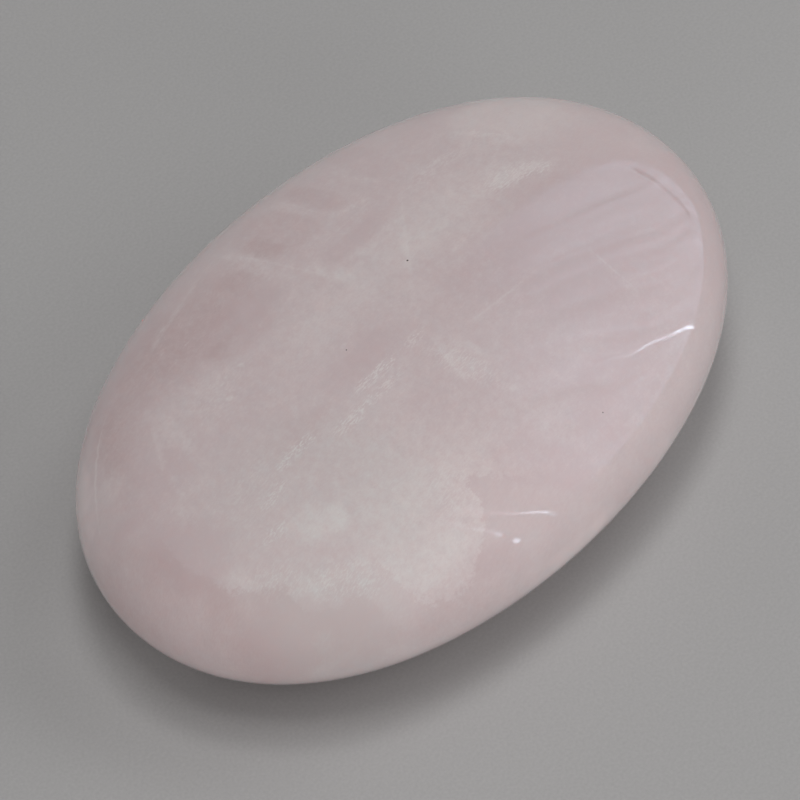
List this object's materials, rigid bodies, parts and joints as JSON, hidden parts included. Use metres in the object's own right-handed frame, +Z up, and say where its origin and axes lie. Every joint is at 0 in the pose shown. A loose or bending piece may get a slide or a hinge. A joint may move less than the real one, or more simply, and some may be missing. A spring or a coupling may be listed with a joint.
{
  "type": "polished oval stone",
  "caption": "Smooth oval rose quartz palm stone with a gently domed face above and below and an evenly rounded rim, resting on a small flat spot.",
  "frame": {"origin": "middle of the small flat spot that the stone rests on, which is the bottom centre of its box", "axes": "+X along the stone, +Y across it, +Z up through its thickness"},
  "size_m": [0.072, 0.0464, 0.022],
  "materials": {
    "rose_quartz": "polished"
  },
  "bodies": {
    "root": {"stone": "rose_quartz"}
  },
  "joints": []
}
